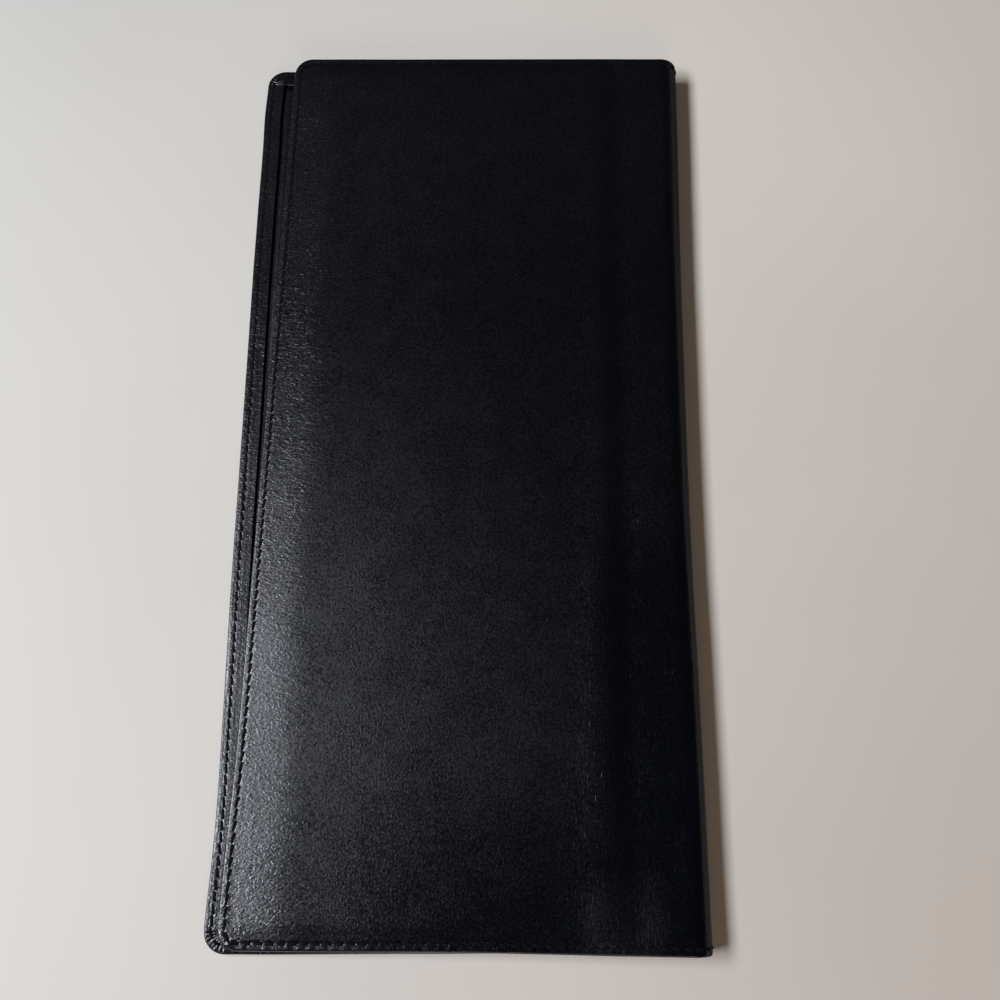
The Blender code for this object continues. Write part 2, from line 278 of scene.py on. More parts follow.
def hills(u, v, seed):
    """Soft random hills from -1 to 1: a lattice of random heights, one a unit, read with easing."""
    size = 61
    lattice = np.random.default_rng(seed).uniform(-1.0, 1.0, (size, size))
    i, j = np.floor(u).astype(int), np.floor(v).astype(int)
    s, t = u - i, v - j
    s, t = s * s * (3.0 - 2.0 * s), t * t * (3.0 - 2.0 * t)
    i, j, k, m = i % size, j % size, (i + 1) % size, (j + 1) % size
    low = lattice[i, j] * (1.0 - s) + lattice[k, j] * s
    high = lattice[i, m] * (1.0 - s) + lattice[k, m] * s
    return low * (1.0 - t) + high * t


def bulge(distance, y):
    """How far the panels lift the front cover: a smooth step up by their mouth, less a slope past their end.

    The slope is (u + sqrt(u * u + SLOPE_EASE squared)) / 2, where u is the share of the way across it,
    and both fade out towards the wallet's ends.
    """
    rise = smooth_ramp(distance, POCKET_MOUTH - RIDGE_WIDTH, POCKET_MOUTH)
    past = (distance - SLOPE_FROM) / SLOPE_WIDTH
    past = np.minimum(0.5 * (past + np.sqrt(past * past + SLOPE_EASE ** 2)), 1.0)
    fade = smooth_ramp(HALF_LENGTH - np.abs(y), FADE_TO, FADE_FROM)
    return (BULGE * rise - SLOPE_DROP * past) * fade


def spine_pull(travel, y):
    """Sideways draw of the leather at the spine: a bell inwards at mid-length, a ramp outwards at the top."""
    pinch = -SPINE_PINCH * bell(y, PINCH_AT, PINCH_SPREAD)
    flare = SPINE_FLARE * smooth_ramp(y, FLARE_FROM, FLARE_TO)
    beyond = smooth_ramp(travel - FOLD_LENGTH, 0.0, SETTLING)
    nearness = smooth_ramp(travel, -SETTLING, 0.0) * (1.0 - beyond)
    return (pinch + flare) * nearness


def rolled(travel, y, depth):
    """Across and height: flat before the fold, then a circle of FOLD_RADIUS less the depth, then straight."""
    angle = np.clip(travel / FOLD_RADIUS, 0.0, FOLD_TURN)
    beyond = np.maximum(travel - FOLD_LENGTH, 0.0)
    radius = FOLD_RADIUS - depth + bulge(beyond, y)
    across = radius * np.sin(angle) + beyond * np.cos(angle)
    height = FOLD_RADIUS - radius * np.cos(angle) + beyond * np.sin(angle)
    flat = travel <= 0.0
    return np.where(flat, travel, across), np.where(flat, depth, height)


def drawn_out(x, y):
    """Small moves of the free edges in the plane of the leather.

    The rear's edge gets one sine wave over its length and a few bells. The front's lower corner is
    flared outwards and down.
    """
    rear = smooth_ramp(-x, REAR_WAVE_FROM, REAR_REACH)
    front = smooth_ramp(x - FOLD_LENGTH, CORNER_FLARE_FROM, FRONT_REACH)
    wave = -REAR_EDGE_WAVE * np.sin(math.pi * y / HALF_LENGTH)
    for middle, spread, move in REAR_EDGE_MOVES:
        wave = wave + move * bell(y, middle, spread)
    moved_x = x + wave * rear + CORNER_FLARE * smooth_ramp(-y, *OUTWARD_FLARE) * front
    moved_y = y - CORNER_FLARE * front * smooth_ramp(-y, *DOWNWARD_FLARE)
    return moved_x, moved_y


def closed_points(x, y, depth):
    """Points of the developed leather on the closed wallet, as an array of (x, y, z)."""
    x, y, depth = np.broadcast_arrays(x, y, depth)
    x, y = drawn_out(x, y)
    travel = x * TILT_COS - y * TILT_SIN
    along = x * TILT_SIN + y * TILT_COS
    across, height = rolled(travel, y, depth)
    across = across + spine_pull(travel, y)
    return FOLD_ORIGIN + across[..., None] * ACROSS + along[..., None] * ALONG + height[..., None] * UP


def developed_x(travel, y):
    """Developed X of the point that lies travel past the fold's start, on the line y."""
    return (travel + y * TILT_SIN) / TILT_COS


def half_x(half, distance, y):
    """Developed X at a distance from the fold line, inside one half."""
    return developed_x(half.start + half.side * distance, y)


def distance_in(half, x, y):
    """Distance of a developed point from the half's fold line."""
    return half.side * (x * TILT_COS - y * TILT_SIN - half.start)


def free_edge_x(half):
    """Developed X of a half's free edge."""
    return developed_x(half.start, 0.0) + half.side * half.reach


def inset_of(half, x, y):
    """Distance of a developed point from the nearest stitched edge."""
    return np.minimum(HALF_LENGTH - np.abs(y), half.side * (free_edge_x(half) - x))


# Meshes


def grid_quads(rows, columns, start=0):
    """Quads of a rows by columns grid of vertices that begins at index start."""
    index = start + np.arange(rows * columns).reshape(rows, columns)
    quads = (index[:-1, :-1], index[:-1, 1:], index[1:, 1:], index[1:, :-1])
    return np.stack(quads, -1).reshape(-1, 4)


def strip_quads(first, second):
    """Quads between two equal rows of vertex indices."""
    return np.stack((first[:-1], first[1:], second[1:], second[:-1]), -1)


def zip_rows(fine, coarse, partner):
    """Quads and triangles between a fine row and a coarse one. partner is each fine vertex's coarse one."""
    low, high = partner[:-1], partner[1:]
    step = low != high
    quads = np.stack((fine[:-1][step], fine[1:][step], coarse[high[step]], coarse[low[step]]), -1)
    triangles = np.stack((fine[:-1][~step], fine[1:][~step], coarse[low[~step]]), -1)
    return quads, triangles


def make_mesh(name, points, quads, triangles):
    """A mesh from arrays of points, quads and triangles, with open ends capped and faces outwards."""
    mesh = bpy.data.meshes.new(name)
    loops = np.concatenate((quads.ravel(), triangles.ravel())).astype(np.int32)
    starts = np.concatenate((np.arange(len(quads)) * 4, len(quads) * 4 + np.arange(len(triangles)) * 3))
    mesh.vertices.add(len(points))
    mesh.vertices.foreach_set("co", points.astype(np.float32).ravel())
    mesh.loops.add(len(loops))
    mesh.loops.foreach_set("vertex_index", loops)
    mesh.polygons.add(len(starts))
    mesh.polygons.foreach_set("loop_start", starts.astype(np.int32))
    mesh.update(calc_edges=True)
    bm = bmesh.new()
    bm.from_mesh(mesh)
    bmesh.ops.holes_fill(bm, edges=[edge for edge in bm.edges if edge.is_boundary], sides=0)
    bmesh.ops.recalc_face_normals(bm, faces=bm.faces)
    if bm.calc_volume(signed=True) < 0.0:
        bmesh.ops.reverse_faces(bm, faces=bm.faces)
    bm.to_mesh(mesh)
    bm.free()
    mesh.shade_smooth()
    mesh.set_sharp_from_angle(angle=SHARP_ANGLE)
    return mesh


def add_piece(name, points, quads, triangles, finish):
    """An object at the origin with its place in its mesh. Its hide attribute keeps the rest position."""
    mesh = make_mesh(name, points, quads, triangles)
    rest = mesh.attributes.new("hide", "FLOAT_VECTOR", "POINT")
    places = np.empty(len(mesh.vertices) * 3, np.float32)
    mesh.vertices.foreach_get("co", places)
    rest.data.foreach_set("vector", places)
    mesh.materials.append(finish)
    piece = bpy.data.objects.new(name, mesh)
    bpy.context.scene.collection.objects.link(piece)
    return piece


def hinge_blend(piece, half):
    """Bakes a piece's placement into its mesh, alike for either half."""
    if half is REAR:
        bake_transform(piece)
    else:
        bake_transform(piece)


# Shell: outer face, turned edge and hem


def thirds(low, high, step):
    """Evenly spaced values whose number of steps divides by FINE_PER_COARSE."""
    cells = max(1, round((high - low) / (FINE_PER_COARSE * step)))
    return np.linspace(low, high, FINE_PER_COARSE * cells + 1)


def fold_stations():
    """Travel from the middle of the fold to its end, as values below 0, closer together at the middle."""
    share = np.linspace(0.0, 1.0, FINE_PER_COARSE * FOLD_STEPS + 1)
    return MID_FOLD * (share * (share + FOLD_CLOSENESS) / (1.0 + FOLD_CLOSENESS) - 1.0)


def side_stations(half):
    """Stations of a long side from mid-fold to the free edge: travel below 0, then shares of the way."""
    shares = thirds(0.0, 1.0, FINE_STEP / half.reach)
    return np.concatenate((fold_stations()[:-1], shares))


def side_x(half, stations, y, end_x):
    """Developed X of the stations on the line y, where share 1 falls on end_x."""
    end = distance_in(half, end_x, y)
    return half_x(half, np.where(stations < 0.0, stations, stations * end), y)


def edge_shares():
    """Fine shares of the way along the free edge."""
    return thirds(0.0, 1.0, FINE_STEP / (2.0 * HALF_LENGTH))


def outline(half, inset):
    """A ring at an inset: up to the corner, round it, along the free edge, and back likewise.

    Gives developed x and y, and the direction outwards at each station.
    """
    radius = max(CORNER_RADIUS - inset, BORDER_CORNER)
    centre_x = free_edge_x(half) - half.side * (inset + radius)
    centre_y = HALF_LENGTH - inset - radius
    edge_y = HALF_LENGTH - inset
    stations = side_stations(half)
    turn = np.linspace(0.0, math.pi / 2.0, CORNER_STEPS + 1)[1:-1]
    free_y = centre_y * (2.0 * edge_shares() - 1.0)
    level = np.zeros_like(stations)
    corner_x, corner_y = half.side * np.sin(turn), np.cos(turn)
    x = np.concatenate((
        side_x(half, stations, -edge_y, centre_x),
        centre_x + radius * corner_x,
        np.full_like(free_y, centre_x + half.side * radius),
        centre_x + radius * corner_x[::-1],
        side_x(half, stations, edge_y, centre_x)[::-1],
    ))
    y = np.concatenate((
        level - edge_y,
        -centre_y - radius * corner_y,
        free_y,
        centre_y + radius * corner_y[::-1],
        level + edge_y,
    ))
    out_x = np.concatenate((level, corner_x, np.full_like(free_y, half.side), corner_x[::-1], level))
    out_y = np.concatenate((level - 1.0, -corner_y, np.zeros_like(free_y), corner_y[::-1], level + 1.0))
    return x, y, out_x, out_y


def corner_nearness(half):
    """1 on the corner arcs and 0 beyond them, at each station of a ring, with a running mean between."""
    sides = len(side_stations(half))
    turns = CORNER_STEPS - 1
    free = len(edge_shares())
    flags = np.concatenate((np.zeros(sides), np.ones(turns), np.zeros(free), np.ones(turns), np.zeros(sides)))
    kernel = np.bartlett(9)
    return np.clip(np.convolve(flags, kernel / kernel.sum(), "same"), 0.0, 1.0)


def stitch_course(half):
    """The stitch line: x, y and the length run so far at each station, and the number of stitches."""
    x, y, _, _ = outline(half, half.seam)
    run = np.concatenate(((0.0,), np.cumsum(np.hypot(np.diff(x), np.diff(y)))))
    return x, y, run, round(run[-1] / STITCH_PITCH)


def edge_profile():
    """The shell's section as rings: inset, depth, outward part of the normal, its part in depth, face.

    The section runs outwards over the outer face, round the rim in half an ellipse, inwards over the
    hem, and back below it. face is 1 on the outer face, 0 on the hem's face, between them round the
    rim and -1 where hidden.
    """
    middle = RIM_THICKNESS / 2.0
    border_insets = np.linspace(BORDER, SEAM_ZONE, BORDER_RINGS)[:-1]
    seam_insets = np.linspace(EDGE_ROUND, SEAM_ZONE, SEAM_RINGS)[1:]
    inner_insets = np.linspace(SEAM_ZONE, HEM_WIDTH - LIP_START, INNER_RINGS)[1:]
    rows = [(inset, 0.0, 0.0, -1.0, 1.0) for inset in (*border_insets, *seam_insets[::-1])]
    for turn in np.linspace(-math.pi / 2.0, math.pi / 2.0, RIM_RINGS):
        inset = EDGE_ROUND * (1.0 - math.cos(turn))
        face = 0.5 - 0.5 * math.sin(turn)
        rows.append((inset, middle + middle * math.sin(turn), math.cos(turn), math.sin(turn), face))
    for inset in (*seam_insets, *inner_insets, HEM_WIDTH - LIP_END):
        rows.append((inset, RIM_THICKNESS, 0.0, 1.0, 0.0))
    rows.append((HEM_WIDTH, RIM_THICKNESS - LIP_BEVEL, -0.7, 0.7, 0.0))
    rows.append((HEM_WIDTH, HEM_DEPTH, -1.0, 0.0, -1.0))
    rows.append((EDGE_WRAP, HEM_DEPTH, 0.0, -1.0, -1.0))
    rows.append((EDGE_WRAP, COVER_THICKNESS, 0.0, 1.0, -1.0))
    rows.append((BORDER, COVER_THICKNESS, 0.0, 1.0, -1.0))
    return np.array(rows)


def seam_relief(half, inset, phase, face, crosswise):
    """Lift beside the stitches: a bell-shaped trough on the stitch line and a puffed bead on each side.

    Between two stitches the trough is bridged and the outer bead puffs up, most of all where the
    seam runs crosswise, along the wallet's ends.
    """
    bridge = (0.5 + 0.5 * np.cos(phase)) ** 1.5
    wide = face if half is FRONT else 0.0
    width = TROUGH_WIDTH + CROSS_TROUGH_WIDTH * crosswise * wide
    depth = HEM_TROUGH_DEPTH + (TROUGH_DEPTH - HEM_TROUGH_DEPTH + CROSS_TROUGH_DEPTH * crosswise) * wide
    trough = bell(inset, half.seam, width) * (1.0 - BRIDGING * bridge)
    inner = bell(inset, half.seam + BEAD_OFFSET, BEAD_SPREAD)
    outer = bell(inset, half.seam - BEAD_OFFSET, BEAD_SPREAD)
    puff = BEAD_HEIGHT + (PUFF_HEIGHT - BEAD_HEIGHT) * crosswise * wide * bridge
    return puff * outer + BEAD_HEIGHT * (1.0 - 0.5 * bridge) * inner - depth * trough


def bead_wrinkles(half, inset, run):
    """Short wrinkles across the outer bead: random hills drawn out along the inset."""
    across = bell(inset, half.seam - BEAD_OFFSET, BEAD_SPREAD)
    return WRINKLE_HEIGHT * across * hills(run / WRINKLE_PITCH, run / WRINKLE_LENGTH, 15)


def rim_lift(half, inset, face, crosswise):
    """Even slopes: the rear's hem climbs inwards from its seam, and both rims fall outwards from theirs."""
    climb = 0.0
    if half is REAR:
        climb = HEM_SLOPE * (1.0 - face) * max(inset - half.seam, 0.0) / (HEM_WIDTH - half.seam)
    drop = REAR_RIM_DROP if half is REAR else FRONT_RIM_DROP
    return climb - drop * max(half.seam - inset, 0.0) / half.seam * (1.0 - 0.6 * crosswise)


def face_relief(half, x, y):
    """Lift of the outer leather: long waves with ripples, and on the front a bell ridge and a bell valley.

    The rear half lies on the table, so away from the fold its waves are lowered by their full height.
    """
    ripples = RIPPLE * hills(x / RIPPLE_ACROSS, y / RIPPLE_ALONG, 4)
    waves = WAVE_HEIGHT * (hills(x / WAVE_ACROSS, y / WAVE_ALONG, 3) + ripples)
    if half is REAR:
        return waves - (1.0 + RIPPLE) * WAVE_HEIGHT * smooth_ramp(-x, 0.0, REAR_SETTLING)
    distance = distance_in(half, x, y) + RIDGE_WANDER * np.sin(y / RIDGE_WANDER_LENGTH + 1.0)
    fade = smooth_ramp(HALF_LENGTH - np.abs(y), FADE_TO, FADE_FROM)
    ridge = RIDGE_HEIGHT * bell(distance, RIDGE_AT, RIDGE_SPREAD)
    valley = VALLEY_DEPTH * bell(distance, VALLEY_AT, VALLEY_SPREAD)
    return waves + (ridge - valley) * fade


def pleats(half, inset, corner, run):
    """Folds that gather the hem at a corner: narrow valleys across the arc, deeper towards its centre."""
    spacing = math.pi / 2.0 * (CORNER_RADIUS - half.seam) / PLEATS
    valley = (0.5 + 0.5 * np.cos(2.0 * math.pi * run / spacing)) ** 2.0
    uneven = 0.8 + 0.4 * np.sin(run / PLEAT_WANDER)
    return -PLEAT_DEPTH * uneven * valley * corner * smooth_ramp(inset, PLEAT_FROM, PLEAT_TO)


def border_lift(half, row, x, y, crosswise, run, phase):
    """How far a ring stands off the plain section: the sum of every relief near the edge."""
    inset, _, out, _, face = row
    if face < 0.0:
        return np.zeros_like(x)
    flat = 1.0 - out
    wander = hills(run / WANDER_LENGTH, np.full_like(run, inset / WANDER_WIDTH), 11 if half is REAR else 12)
    seam = seam_relief(half, inset, phase, face, crosswise)
    streaks = hills(np.full_like(run, inset / STREAK_PITCH), run / WANDER_LENGTH, 17)
    lift = face * face_relief(half, x, y)
    lift += seam * (0.35 + 0.65 * flat) * (0.9 + 0.25 * wander)
    lift += WANDER_HEIGHT * wander * (1.0 - face)
    lift += rim_lift(half, inset, face, crosswise)
    lift += bead_wrinkles(half, inset, run) * flat
    lift += STREAK_HEIGHT * (1.0 - face) * streaks
    lift += (1.0 - face) * pleats(half, inset, corner_nearness(half), run)
    if half is REAR and face > 0.5:
        # The rear's outer face lies on the table up to the fold, so only hollows stay there
        at_fold = smooth_ramp(x, 0.0, LIFT_OFF)
        lift = np.minimum(lift, 0.0) * (1.0 - at_fold) + lift * at_fold
    return lift


def border_points(half):
    """The rings of the border as an array (rings, stations, 3): the section carried along the outline."""
    _, _, run, stitches = stitch_course(half)
    phase = 2.0 * math.pi * stitches * run / run[-1]
    rings = []
    for row in edge_profile():
        inset, depth, out, inward, _ = row
        x, y, out_x, out_y = outline(half, inset)
        lift = border_lift(half, row, x, y, np.abs(out_y), run, phase)
        rings.append(closed_points(x + lift * out * out_x, y + lift * out * out_y, depth + lift * inward))
    return np.array(rings)


def middle_grid(half, stations, shares, depth, relief):
    """The face inside the border: a grid from mid-fold to the free edge, rows along Y."""
    edge = HALF_LENGTH - COARSE_BORDER
    end_x = free_edge_x(half) - half.side * COARSE_BORDER
    y = edge * (2.0 * shares - 1.0)[:, None]
    x = side_x(half, stations[None, :], y, end_x)
    y = np.broadcast_to(y, x.shape)
    lift = face_relief(half, x, y) if relief else 0.0
    return closed_points(x, y, depth - lift)


def boundary_of(rows, columns, start):
    """Indices of a grid's lower side, far end and upper side, in a ring's order."""
    index = start + np.arange(rows * columns).reshape(rows, columns)
    return np.concatenate((index[0], index[1:, -1], index[-1, -2::-1]))


def partners(half, every):
    """For each station of a ring, the number along the coarse boundary that it joins."""
    side = np.round(np.arange(len(side_stations(half))) / every).astype(int)
    free = np.round(np.arange(len(edge_shares())) / every).astype(int)
    corner = np.full(CORNER_STEPS - 1, side[-1])
    up = side[-1] + free
    far = np.full(CORNER_STEPS - 1, up[-1])
    back = up[-1] + side[-1] - side[::-1]
    return np.concatenate((side, corner, up, far, back))


def thinned(values, every):
    """Each value whose number divides by every, and the last one."""
    keep = np.unique(np.round(np.arange(len(values)) / every).astype(int))
    return values[np.minimum(keep * every, len(values) - 1)]


def shell_half(half, finish):
    """One half of the shell leather: the border's rings, with a middle grid inside each face."""
    rings = border_points(half)
    count, stations = rings.shape[:2]
    points = [rings.reshape(-1, 3)]
    quads = [grid_quads(count, stations)]
    triangles = []
    start = count * stations
    outer_face = (0, FINE_PER_COARSE, 0.0, True)
    hidden_face = (count - 1, FINE_PER_COARSE ** 2, COVER_THICKNESS, False)
    for ring, every, depth, relief in (outer_face, hidden_face):
        away, along = thinned(side_stations(half), every), thinned(edge_shares(), every)
        face = middle_grid(half, away, along, depth, relief)
        rows, columns = face.shape[:2]
        points.append(face.reshape(-1, 3))
        quads.append(grid_quads(rows, columns, start))
        fine = ring * stations + np.arange(stations)
        joined, fans = zip_rows(fine, boundary_of(rows, columns, start), partners(half, every))
        quads.append(joined)
        triangles.append(fans)
        start += rows * columns
    name = half.name + "_shell"
    return add_piece(name, np.concatenate(points), np.concatenate(quads), np.concatenate(triangles), finish)


# Stitches


def thread_points(x, y, along_x, along_y, depth, inwards, length, seed, radius=THREAD_RADIUS):
    """Stitches as short tubes (stitch, step, side, 3): they arch over the leather and dip into the holes.

    Each lies along its direction, turned a few degrees. Its middle keeps its depth, and its ends dip
    and thin with the eighth power of the way out.
    """
    random = np.random.default_rng(seed)
    length = np.broadcast_to(length, x.shape)
    slant = np.radians(SLANT + SLANT_SPREAD * random.standard_normal(len(x)))
    stretch = length * (1.0 + LENGTH_SPREAD * random.standard_normal(len(x)))
    share = np.linspace(-1.0, 1.0, THREAD_STEPS + 1)[None, :, None]
    turn = np.linspace(0.0, 2.0 * math.pi, THREAD_SIDES, endpoint=False)[None, None, :]
    lead_x = (along_x * np.cos(slant) - along_y * np.sin(slant))[:, None, None]
    lead_y = (along_x * np.sin(slant) + along_y * np.cos(slant))[:, None, None]
    girth = radius * (1.0 - END_THINNING * share ** 8)
    dip = THREAD_DIP * radius / THREAD_RADIUS * share ** 8
    along = stretch[:, None, None] / 2.0 * share
    sideways = girth * np.cos(turn)
    proud = girth * np.sin(turn) - dip
    at_x = x[:, None, None] + along * lead_x - sideways * lead_y
    at_y = y[:, None, None] + along * lead_y + sideways * lead_x
    at_depth = depth[:, None, None] + inwards * proud
    return closed_points(at_x, at_y, at_depth)


def thread_row(name, points, finish):
    """One object for a row of stitches; each tube is closed by a cap at both ends."""
    stitches, steps, sides = points.shape[:3]
    index = np.arange(stitches * steps * sides).reshape(stitches, steps, sides)
    after = np.roll(index, -1, axis=2)
    quads = np.stack((index[:, :-1], after[:, :-1], after[:, 1:], index[:, 1:]), -1).reshape(-1, 4)
    return add_piece(name, points.reshape(-1, 3), quads, np.zeros((0, 3), int), finish)


def edge_stitches(half, inner, finish):
    """The row along the turned edge, on the outer face or on the hem: one stitch to each pitch of the run."""
    x, y, run, count = stitch_course(half)
    middle = (np.arange(count) + 0.5) * run[-1] / count
    ahead, behind = middle + STITCH_LENGTH / 2.0, middle - STITCH_LENGTH / 2.0
    at_x, at_y = np.interp(middle, run, x), np.interp(middle, run, y)
    lead_x = np.interp(ahead, run, x) - np.interp(behind, run, x)
    lead_y = np.interp(ahead, run, y) - np.interp(behind, run, y)
    size = np.hypot(lead_x, lead_y)
    lead_x, lead_y = lead_x / size, lead_y / size
    if inner:
        depth = np.full_like(at_x, RIM_THICKNESS - HEM_SINK)
    elif half is REAR:
        depth = np.where(at_x < 0.0, THREAD_RADIUS + TABLE_CLEARANCE, HEM_SINK)
    else:
        depth = FACE_SINK - face_relief(half, at_x, at_y)
    length = STITCH_LENGTH + (CROSS_STITCH - STITCH_LENGTH) * np.abs(lead_x)
    points = thread_points(at_x, at_y, lead_x, lead_y, depth, 1.0 if inner else -1.0, length, 21)
    name = half.name + ("_hem_stitches" if inner else "_face_stitches")
    return thread_row(name, points, finish)


# Linings and pockets


def perimeter(rows, columns):
    """Indices of a grid's rim in order, and the direction outwards at each: (row, column) parts."""
    index = np.arange(rows * columns).reshape(rows, columns)
    loop = np.concatenate((index[0, :-1], index[:-1, -1], index[-1, :0:-1], index[:0:-1, 0]))
    row, column = loop // columns, loop % columns
    out_row = (row == rows - 1).astype(float) - (row == 0)
    out_column = (column == columns - 1).astype(float) - (column == 0)
    size = np.hypot(out_row, out_column)
    return loop, out_row / size, out_column / size


def sheet_piece(name, half, distance, y, depth, thickness, lift, finish, square_start=False):
    """A thin leather or fabric panel with round edges.

    distance and y are grids (rows along Y, columns away from the fold). depth is the grid of its
    outward face and lift is the relief of its inner face.
    """
    rows, columns = distance.shape
    loop, out_row, out_column = perimeter(rows, columns)
    if square_start:
        out_column = np.where(out_column < 0.0, 0.0, out_column)
    x = half_x(half, distance, y)
    thickness = np.broadcast_to(thickness, x.shape)
    outer = closed_points(x, y, depth).reshape(-1, 3)
    inner = closed_points(x, y, depth + thickness + lift).reshape(-1, 3)
    points = [outer, inner]
    quads = [grid_quads(rows, columns), grid_quads(rows, columns, rows * columns)]
    closed = np.append(np.arange(len(loop)), 0)
    previous = loop[closed]
    start = 2 * rows * columns
    rims = (grid.ravel()[loop] for grid in (distance, y, depth, thickness))
    rim_distance, rim_y, rim_depth, rim_thickness = rims
    for turn in RIM_TURNS:
        swell = rim_thickness / 2.0 * math.cos(turn)
        at_distance = rim_distance + out_column * swell
        at_y = rim_y + out_row * swell
        at_depth = rim_depth + rim_thickness * (0.5 + 0.5 * math.sin(turn))
        points.append(closed_points(half_x(half, at_distance, at_y), at_y, at_depth))
        current = start + closed % len(loop)
        quads.append(strip_quads(previous, current))
        previous = current
        start += len(loop)
    quads.append(strip_quads(previous, rows * columns + loop[closed]))
    return add_piece(name, np.concatenate(points), np.concatenate(quads), np.zeros((0, 3), int), finish)


def spaced(low, high, coarse, fine, margin):
    """Values from low to high: fine steps within a margin of both ends and coarse ones between."""
    ends = max(1, round(margin / fine))
    inside = max(1, round((high - low - 2.0 * margin) / coarse))
    return np.concatenate((
        np.linspace(low, low + margin, ends + 1)[:-1],
        np.linspace(low + margin, high - margin, inside + 1)[:-1],
        np.linspace(high - margin, high, ends + 1),
    ))


def course_depth(course, distance):
    """Depth along a course of (distance, depth) corners, eased from each corner to the next."""
    depth = np.full_like(distance, course[0][1])
    for (near, low), (far, high) in zip(course, course[1:]):
        depth = depth + (high - low) * smooth_ramp(distance, near, far)
    return depth


def panel_end(half):
    """Distance from the fold at which the stitched-on panels end."""
    return half.reach - PANEL_MARGIN


def slot_mouths(half):
    """Distances of the card slots' mouths, from the fold side down."""
    return np.linspace(CARD_MOUTH, panel_end(half) - CARD_DEPTH, STEPPED_SLOTS + 1)


def strip_course(index, mouths):
    """A stepped lip: over the tuck of the lip behind it, then down onto that slot's bag."""
    mouth = mouths[index]
    end = mouth + (mouths[1] - mouths[0]) + STRIP_TUCK
    level = FIRST_PLY + index * (BAG_THICKNESS + PLY_GAP)
    if index == 0:
        return [(mouth, level), (end, level)]
    step = POCKET_THICKNESS - BAG_THICKNESS
    tuck_end = mouth + STRIP_TUCK + PLY_GAP
    return [(mouth, level + step), (tuck_end, level + step), (tuck_end + STRIP_JOGGLE, level), (end, level)]


def bag_course(index, mouths):
    """A bag that hangs from its lip, and drops past the end of the bag behind it."""
    start = mouths[index] + (mouths[1] - mouths[0]) + STRIP_TUCK + PLY_GAP
    end = mouths[index] + CARD_DEPTH
    level = FIRST_PLY + index * (BAG_THICKNESS + PLY_GAP)
    if index == 0:
        return [(start, level), (end, level)]
    return [(start, level), (mouths[index - 1] + CARD_DEPTH + PLY_GAP, level), (end, FIRST_PLY)]


def bottom_course(half, mouths):
    """The last pocket: over the last lip's tuck and all bags, down to the panels' end."""
    mouth = mouths[-1]
    level = FIRST_PLY + STEPPED_SLOTS * (BAG_THICKNESS + PLY_GAP)
    step = POCKET_THICKNESS - BAG_THICKNESS
    tuck_end = mouth + STRIP_TUCK + PLY_GAP
    return [
        (mouth, level + step),
        (tuck_end, level + step),
        (tuck_end + STRIP_JOGGLE, level),
        (mouths[0] + CARD_DEPTH + PLY_GAP, level),
        (panel_end(half), FIRST_PLY),
    ]


def mouth_relief(back):
    """A bead along a mouth and a pressed line behind it, by the distance back from the mouth."""
    bead = MOUTH_BEAD * (1.0 - smooth_ramp(back, MOUTH_BEAD_FROM, MOUTH_BEAD_TO))
    return bead - MOUTH_LINE * bell(back, MOUTH_LINE_AT, MOUTH_LINE_SPREAD)


def panel_relief(distance, y, mouth, low_y, high_y, seed):
    """Relief of a pocket leather: its mouth's bead and line, sunk side seams and low random hills."""
    aside = np.minimum(y - low_y, high_y - y)
    seam = SEAM_GROOVE * bell(aside, REAR_SEAM, TROUGH_WIDTH)
    low_hills = PANEL_HILLS * hills(distance / HILLS_AWAY, y / HILLS_ALONG, seed)
    return mouth_relief(distance - mouth) - seam + low_hills


def panel(name, half, course, thickness, low_y, high_y, finish, seed, plain=False):
    """A pocket panel between two lines of y."""
    along = spaced(low_y, high_y, *PANEL_ALONG)
    away = spaced(course[0][0], course[-1][0], *PANEL_AWAY)
    distance, y = np.meshgrid(away, along)
    lift = 0.0 if plain else panel_relief(distance, y, course[0][0], low_y, high_y, seed)
    return sheet_piece(name, half, distance, y, course_depth(course, distance), thickness, lift, finish)


def inner_sheet(name, half, start, depth_and_thickness, finish, lift=None):
    """A ply that runs under the hem on three sides, from a distance start to the free edge."""
    edge = HALF_LENGTH - SHEET_INSET
    along = spaced(-edge, edge, *SHEET_ALONG)[:, None]
    end_x = free_edge_x(half) - half.side * SHEET_INSET
    end = distance_in(half, end_x, along)
    share = spaced(0.0, half.reach, *SHEET_AWAY)[None, :] / half.reach
    if start < 0.0:
        turns = np.linspace(start, 0.0, LINING_FOLD_STEPS + 1)[None, :-1] + 0.0 * along
        distance = np.concatenate((turns, share * end), axis=1)
    else:
        distance = start + share * (end - start)
    y = along + 0.0 * distance
    inset = inset_of(half, half_x(half, distance, y), y)
    depth, thickness = depth_and_thickness(distance, inset)
    relief = 0.0 * distance if lift is None else lift(distance, y, inset)
    return sheet_piece(name, half, distance, y, depth, thickness, relief, finish, square_start=start < 0.0)


def lining_section(distance, inset):
    """The lining lies low under the hem and at the fold, and steps up over the stiffener."""
    top = POCKET_MOUTH - STRIP_JOGGLE
    rise = smooth_ramp(distance, top - PLY_RAMP, top) * smooth_ramp(inset, RAMP_START, RAMP_END)
    return LINING_DEPTH + BOARD_RISE * rise, LINING_THICKNESS


def pocket_section(distance, inset):
    """The slip pocket is skived under the hem and has its full thickness over the stiffener."""
    rise = smooth_ramp(inset, RAMP_START, RAMP_END)
    return POCKET_DEPTH + BOARD_RISE * rise, SKIVED_THICKNESS + (POCKET_THICKNESS - SKIVED_THICKNESS) * rise


